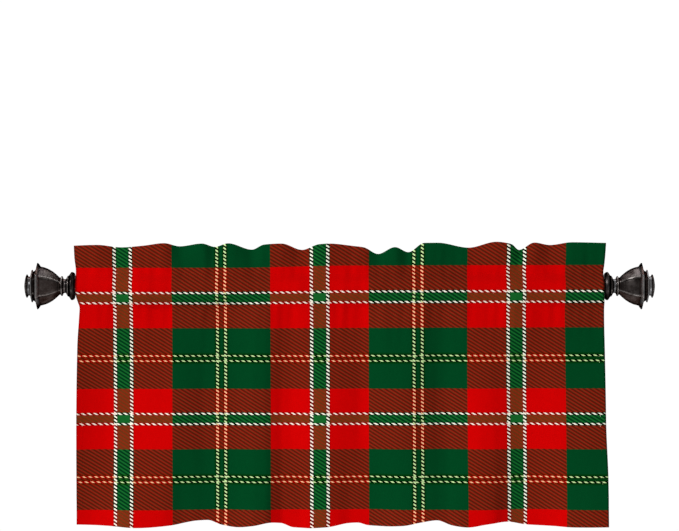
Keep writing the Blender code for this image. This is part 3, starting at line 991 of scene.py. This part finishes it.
def plaid_material(name, darker=1.0):
    t = Tree(name)
    uv = t.nodes.new("ShaderNodeUVMap")
    uv.uv_map = "cloth"
    split = t.nodes.new("ShaderNodeSeparateXYZ")
    t.links.new(uv.outputs[0], split.inputs[0])
    x = t.math("MULTIPLY", split.outputs[0], 1000.0)
    z = t.math("MULTIPLY", split.outputs[1], 1000.0)

    # Each direction's bands, as distances from the nearest red centre.
    def bands(value, p):
        period = p["period"]
        wrapped = t.math("WRAP", t.math("SUBTRACT", value, p["red_centre"]), period / 2, -period / 2)
        from_red = t.math("ABSOLUTE", wrapped)
        from_green = t.math("SUBTRACT", period / 2, from_red)
        soft = 0.25
        green = t.step(from_red, period / 4 - soft, period / 4 + soft)
        core = t.math("SUBTRACT", 1.0, t.step(from_red, p["white_at"] - soft, p["white_at"] + soft))
        off_white = t.math("ABSOLUTE", t.math("SUBTRACT", from_red, p["white_at"]))
        off_yellow = t.math("ABSOLUTE", t.math("SUBTRACT", from_green, p["yellow_at"]))
        white = t.math("SUBTRACT", 1.0, t.step(off_white, p["white_half"] - soft, p["white_half"] + soft))
        yellow = t.math("SUBTRACT", 1.0, t.step(off_yellow, p["yellow_half"] - soft, p["yellow_half"] + soft))
        beside_white = t.math("SUBTRACT", 1.0, t.step(off_white, p["white_half"] + 0.2, p["white_half"] + 1.1))
        beside_yellow = t.math("SUBTRACT", 1.0, t.step(off_yellow, p["yellow_half"] + 0.2, p["yellow_half"] + 1.0))
        beside = t.math("MAXIMUM", beside_white, beside_yellow)
        near_yellow = t.math("SUBTRACT", 1.0, t.step(off_yellow, 3.0, 6.0))
        ground = t.mix(green, yarn(RED), yarn(GREEN))
        ground = t.mix(core, ground, yarn(CORE))
        red = t.math("SUBTRACT", t.math("SUBTRACT", 1.0, green), core, clamp=True)
        return dict(green=green, core=core, white=white, yellow=yellow, beside=beside, ground=ground, red=red, near_yellow=near_yellow, beside_yellow=beside_yellow)

    warp, weft = bands(x, PLAID_X), bands(z, PLAID_Z)

    # The twill: which of the two yarns is on top.
    phase = t.math("ADD", t.math("DIVIDE", x, TWILL_X), t.math("DIVIDE", z, TWILL_Z))
    wave = t.math("SINE", t.math("MULTIPLY", phase, 2 * math.pi))
    square = t.math("MINIMUM", t.math("MAXIMUM", t.math("MULTIPLY", wave, 2.4), -1.0), 1.0)

    core_red = t.math("ADD", t.math("MULTIPLY", warp["core"], weft["red"]), t.math("MULTIPLY", weft["core"], warp["red"]), clamp=True)
    core_green = t.math("ADD", t.math("MULTIPLY", warp["core"], weft["green"]), t.math("MULTIPLY", weft["core"], warp["green"]), clamp=True)
    swing = t.math("ADD", 0.155, t.math("MULTIPLY", core_green, 0.33))
    swing = t.math("SUBTRACT", swing, t.math("MULTIPLY", core_red, 0.10))
    crossed = t.math("ADD", t.math("MULTIPLY", warp["red"], weft["green"]), t.math("MULTIPLY", weft["red"], warp["green"]), clamp=True)
    swing = t.math("SUBTRACT", swing, t.math("MULTIPLY", crossed, 0.15))
    # Red always lies a little more on top, whichever way it runs.
    lean = t.math("SUBTRACT", t.math("MULTIPLY", warp["red"], 0.03), t.math("MULTIPLY", weft["red"], 0.03))
    share = t.math("ADD", t.math("ADD", 0.5, lean), t.math("MULTIPLY", square, swing))
    later = t.math("SINE", t.math("MULTIPLY", t.math("ADD", phase, 0.25), 2 * math.pi))
    share = t.math("ADD", share, t.math("MULTIPLY", t.math("MULTIPLY", later, crossed), 0.085), clamp=True)
    # Under a white or yellow stripe only the yarns that cross it show.
    warp_ground = t.mix(warp["beside"], warp["ground"], weft["ground"])
    weft_ground = t.mix(weft["beside"], weft["ground"], warp["ground"])
    colour = t.mix(share, weft_ground, warp_ground)
    core_on_top = t.math("SUBTRACT", t.math("MULTIPLY", warp["core"], weft["green"]), t.math("MULTIPLY", weft["core"], warp["green"]))
    red_on_top = t.math("SUBTRACT", t.math("MULTIPLY", warp["red"], weft["core"]), t.math("MULTIPLY", weft["red"], warp["core"]))
    depth = t.math("ADD", t.math("MULTIPLY", crossed, 0.18), t.math("MULTIPLY", core_on_top, 0.10))
    depth = t.math("ADD", depth, t.math("MULTIPLY", red_on_top, 0.03))
    relief = t.math("ADD", t.math("SUBTRACT", 1.0, t.math("MULTIPLY", core_green, 0.08)), t.math("MULTIPLY", square, depth))
    colour = t.mix(1.0, colour, t.vector(relief, relief, relief), "MULTIPLY")
    # The ground beside the yellow pairs is a little darker and more olive.
    near = t.math("MAXIMUM", warp["near_yellow"], weft["near_yellow"])
    less_green, less_blue = (t.math("SUBTRACT", 1.0, t.math("MULTIPLY", near, amount)) for amount in (0.16, 0.44))
    colour = t.mix(1.0, colour, t.vector(1.0, less_green, less_blue), "MULTIPLY")

    # White and yellow yarns show as slanted dashes, with the other yarns sunk and dark between and beside them.
    # Over red the dashes are a little shorter and the yarns between them less dark.
    warp_on_red, weft_on_red = (t.math("MULTIPLY", a["beside"], b["red"]) for a, b in ((warp, weft), (weft, warp)))
    over = t.step(t.math("SUBTRACT", wave, t.math("MULTIPLY", warp_on_red, 0.14)), -0.08, 0.20)
    under = t.step(t.math("SUBTRACT", t.math("MULTIPLY", wave, -1.0), t.math("MULTIPLY", weft_on_red, 0.14)), -0.08, 0.20)
    lightened = t.math(
        "ADD",
        t.math("MULTIPLY", warp_on_red, t.math("ADD", 0.46, t.math("MULTIPLY", warp["beside_yellow"], 0.30))),
        t.math("MULTIPLY", weft_on_red, 0.62),
        clamp=True,
    )
    sunk = t.math(
        "MAXIMUM",
        t.math("MULTIPLY", warp["beside"], t.math("SUBTRACT", 1.0, over)),
        t.math("MULTIPLY", weft["beside"], t.math("SUBTRACT", 1.0, under)),
    )
    shade = t.math("SUBTRACT", 1.0, t.math("MULTIPLY", sunk, t.math("SUBTRACT", 0.95, lightened)))
    colour = t.mix(1.0, colour, t.vector(shade, shade, shade), "MULTIPLY")

    def accent(colour, band, other, on):
        yellow = t.mix(other["red"], yarn(YELLOW_OVER_GREEN), yarn(YELLOW_OVER_RED))
        white = t.mix(other["red"], yarn(WHITE_OVER_GREEN), yarn(WHITE_OVER_RED))
        colour = t.mix(t.math("MULTIPLY", band["yellow"], on), colour, yellow)
        return t.mix(t.math("MULTIPLY", band["white"], on), colour, white)

    colour = accent(colour, weft, warp, under)
    colour = accent(colour, warp, weft, over)

    # The cloth's own fine weave and the unevenness of its yarns, with painted shade at the side edges.
    metres = t.vector(split.outputs[0], split.outputs[1])
    warp_yarns = t.noise(t.vector(t.math("MULTIPLY", split.outputs[0], 1.0), t.math("MULTIPLY", split.outputs[1], 0.06)), 1500.0, 1.0)
    weft_yarns = t.noise(t.vector(t.math("MULTIPLY", split.outputs[0], 0.06), t.math("MULTIPLY", split.outputs[1], 1.0)), 1500.0, 1.0)
    blotch = t.noise(metres, 38.0, 3.0, 0.55)
    uneven = t.math("ADD", t.math("MULTIPLY", t.math("ADD", warp_yarns, weft_yarns), 0.085), t.math("MULTIPLY", blotch, 0.035))
    uneven = t.math("ADD", uneven, 1.0 - 0.085 - 0.0175)
    # A fine two-by-two twill: each yarn is a small ridge that lies on top for two others.
    warp_ridge = t.math("ABSOLUTE", t.math("SINE", t.math("MULTIPLY", x, math.pi / YARN)))
    weft_ridge = t.math("ABSOLUTE", t.math("SINE", t.math("MULTIPLY", z, math.pi / YARN)))
    rib = t.math("SINE", t.math("MULTIPLY", t.math("ADD", x, z), 2 * math.pi / (4 * YARN)))
    weave = t.mix(t.step(rib, -0.35, 0.35), weft_ridge, warp_ridge)
    uneven = t.math("ADD", uneven, t.math("MULTIPLY", t.math("SUBTRACT", weave, 0.64), 0.16))
    # Painted shade: the colour is up to 22 % darker at the cloth's side edges.
    side = t.attribute("painted_edge_shade")
    uneven = t.math("MULTIPLY", uneven, t.math("SUBTRACT", darker, t.math("MULTIPLY", side, 0.22)))
    colour = t.mix(1.0, colour, t.vector(uneven, uneven, uneven), "MULTIPLY")
    gamma = t.nodes.new("ShaderNodeGamma")
    gamma.inputs["Gamma"].default_value = 2.2
    t.links.new(colour, gamma.inputs["Color"])
    t.links.new(gamma.outputs[0], t.shader.inputs["Base Color"])

    # Height: the fine weave, then the printed-scale twill.
    height = t.math("ADD", weave, t.math("MULTIPLY", t.math("ADD", warp_yarns, weft_yarns), 0.5))
    fine = t.bump(height, 0.34, 0.00016)
    ridge = t.math("MULTIPLY", wave, 0.5)
    coarse = t.bump(ridge, 0.16, 0.00018, fine)
    t.links.new(coarse, t.shader.inputs["Normal"])
    rough = t.math("ADD", 0.86, t.math("MULTIPLY", weft_yarns, 0.12))
    t.links.new(rough, t.shader.inputs["Roughness"])
    t.shader.inputs["Specular IOR Level"].default_value = 0.0
    t.shader.inputs["Sheen Weight"].default_value = 0.05
    t.shader.inputs["Sheen Roughness"].default_value = 0.35
    return t.material


def bronze_material(name, hammered=1.0, with_painted_tones=True):
    t = Tree(name)
    place = t.position()
    cloud = t.noise(place, 70.0, 4.0, 0.6)
    grit = t.noise(place, 420.0, 3.0, 0.6)
    wear_and_highlight = t.attribute("wear_and_highlight")
    # Where the finish is rubbed through on corners and ridges: partly real wear, partly a painted highlight.
    rub_and_painted_light = t.math("MULTIPLY", wear_and_highlight, t.step(t.math("ADD", cloud, t.math("MULTIPLY", grit, 0.5)), 0.50, 0.92))
    base = t.mix(t.step(cloud, 0.35, 0.68), (0.027, 0.0190, 0.0172, 1.0), (0.047, 0.0345, 0.0318, 1.0))
    base = t.mix(t.math("MULTIPLY", t.step(grit, 0.56, 0.72), 0.35), base, (0.080, 0.069, 0.066, 1.0))
    if with_painted_tones:
        # Painted light and shade along the finial, with the finish's own tone, and a painted grey highlight on the
        # upper faces.
        tone = t.attribute("rub_and_painted_light")
        base = t.mix(t.math("MULTIPLY", t.attribute("painted_grey_highlight"), 0.9), base, (0.034, 0.035, 0.0362, 1.0))
        base = t.mix(1.0, base, t.vector(tone, tone, tone), "MULTIPLY")
    base = t.mix(t.math("MULTIPLY", rub_and_painted_light, 0.82), base, (0.29, 0.270, 0.260, 1.0))
    t.links.new(base, t.shader.inputs["Base Color"])
    t.shader.inputs["Metallic"].default_value = 1.0
    t.shader.inputs["Specular Tint"].default_value = (0.10, 0.09, 0.09, 1.0)
    rough = t.math("ADD", 0.20, t.math("MULTIPLY", cloud, 0.20))
    t.links.new(rough, t.shader.inputs["Roughness"])
    height = t.math("ADD", t.math("MULTIPLY", cloud, 0.7), t.math("MULTIPLY", grit, 0.16))
    t.links.new(t.bump(height, 0.35 * hammered, 0.0012), t.shader.inputs["Normal"])
    return t.material


plaid = plaid_material("plaid_twill")
thread_plaid = plaid_material("plaid_thread", 1.06)
bronze = bronze_material("oil_rubbed_bronze")
rod_bronze = bronze_material("rod_bronze", 0.4, False)

for piece in (cloth, hem_left, hem_right):
    piece.data.materials.append(plaid)
stitches.data.materials.append(thread_plaid)
for piece in finials:
    piece.data.materials.append(bronze)
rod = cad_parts["rod"]
for slot in rod.material_slots:
    slot.material = rod_bronze

# =====================================================================================================
# Studio, camera
# =====================================================================================================
scene = bpy.context.scene
scene.view_settings.view_transform = "Standard"
scene.view_settings.look = "None"

world = bpy.data.worlds.new("studio")
scene.world = world
world.use_nodes = True
nodes, links = world.node_tree.nodes, world.node_tree.links
nodes.clear()
direction = nodes.new("ShaderNodeTexCoord").outputs["Generated"]
split = nodes.new("ShaderNodeSeparateXYZ")
links.new(direction, split.inputs[0])
height = nodes.new("ShaderNodeMapRange")
height.interpolation_type = "SMOOTHSTEP"
links.new(split.outputs[2], height.inputs["Value"])
for name, value in (("From Min", -0.75), ("From Max", 0.9), ("To Min", 0.41), ("To Max", 0.71)):
    height.inputs[name].default_value = value
from_left = nodes.new("ShaderNodeMapRange")
links.new(split.outputs[0], from_left.inputs["Value"])
for name, value in (("From Min", -1.0), ("From Max", 1.0), ("To Min", 1.18), ("To Max", 0.82)):
    from_left.inputs[name].default_value = value
level = nodes.new("ShaderNodeMath")
level.operation = "MULTIPLY"
links.new(height.outputs[0], level.inputs[0])
links.new(from_left.outputs[0], level.inputs[1])
soft_light = nodes.new("ShaderNodeBackground")
links.new(level.outputs[0], soft_light.inputs["Strength"])
seen = nodes.new("ShaderNodeBackground")
seen.inputs["Color"].default_value = (1.0, 1.0, 1.0, 1.0)
seen.inputs["Strength"].default_value = 1.02
path = nodes.new("ShaderNodeLightPath")
choice = nodes.new("ShaderNodeMixShader")
links.new(path.outputs["Is Camera Ray"], choice.inputs[0])
links.new(soft_light.outputs[0], choice.inputs[1])
links.new(seen.outputs[0], choice.inputs[2])
out = nodes.new("ShaderNodeOutputWorld")
links.new(choice.outputs[0], out.inputs[0])


def area_light(name, place, target, size, watts):
    data = bpy.data.lights.new(name, "AREA")
    data.shape = "RECTANGLE"
    data.size, data.size_y = size
    data.energy = watts
    made = bpy.data.objects.new(name, data)
    scene.collection.objects.link(made)
    made.location = place
    away = made.location - type(made.location)(target)
    made.rotation_mode = "QUATERNION"
    made.rotation_quaternion = away.to_track_quat("Z", "Y")
    return made


area_light("key", (-4.2, -3.1, 3.0), (0.0, 0.0, -0.2), (1.1, 1.1), 205.0)
area_light("low_fill", (0.0, -1.35, -1.25), (0.0, 0.0, -0.34), (2.2, 0.5), 8.5)
area_light("overhead", (0.0, 1.05, 1.8), (0.0, 0.1, 0.0), (4.4, 0.85), 68.0)

floor = mesh_object(
    "floor", [(-16.0, -16.0, -3.2), (16.0, -16.0, -3.2), (16.0, 16.0, -3.2), (-16.0, 16.0, -3.2)], [(0, 1, 2, 3)], False
)
pale = bpy.data.materials.new("pale_floor")
pale.use_nodes = True
pale.node_tree.nodes["Principled BSDF"].inputs["Base Color"].default_value = (0.80, 0.80, 0.795, 1.0)
pale.node_tree.nodes["Principled BSDF"].inputs["Roughness"].default_value = 0.9
floor.data.materials.append(pale)

# The photograph is 679 by 531; at the cloth one of its pixels is 1.613 mm.
PIXEL = 1.613
WIDE, HIGH = 679, 531
camera_data = bpy.data.cameras.new("camera")
camera_data.lens, camera_data.sensor_width = 135.0, 36.0
distance = WIDE * PIXEL * MM * camera_data.lens / camera_data.sensor_width
camera = bpy.data.objects.new("camera", camera_data)
scene.collection.objects.link(camera)
camera.location = (
    (WIDE / 2 - 339.6) * PIXEL * MM,
    -0.006 - distance,
    (286.1 - HIGH / 2) * PIXEL * MM,
)
camera.rotation_euler = (math.pi / 2, 0.0, 0.0)
camera_data.clip_start, camera_data.clip_end = 0.05, 60.0
scene.camera = camera

# =====================================================================================================
# What rides and stands for what
# =====================================================================================================
for piece in (cloth, hem_left, hem_right, stitches, *finials):
    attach(piece, "root")
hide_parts("valance")
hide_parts("finial_left")
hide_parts("finial_right")
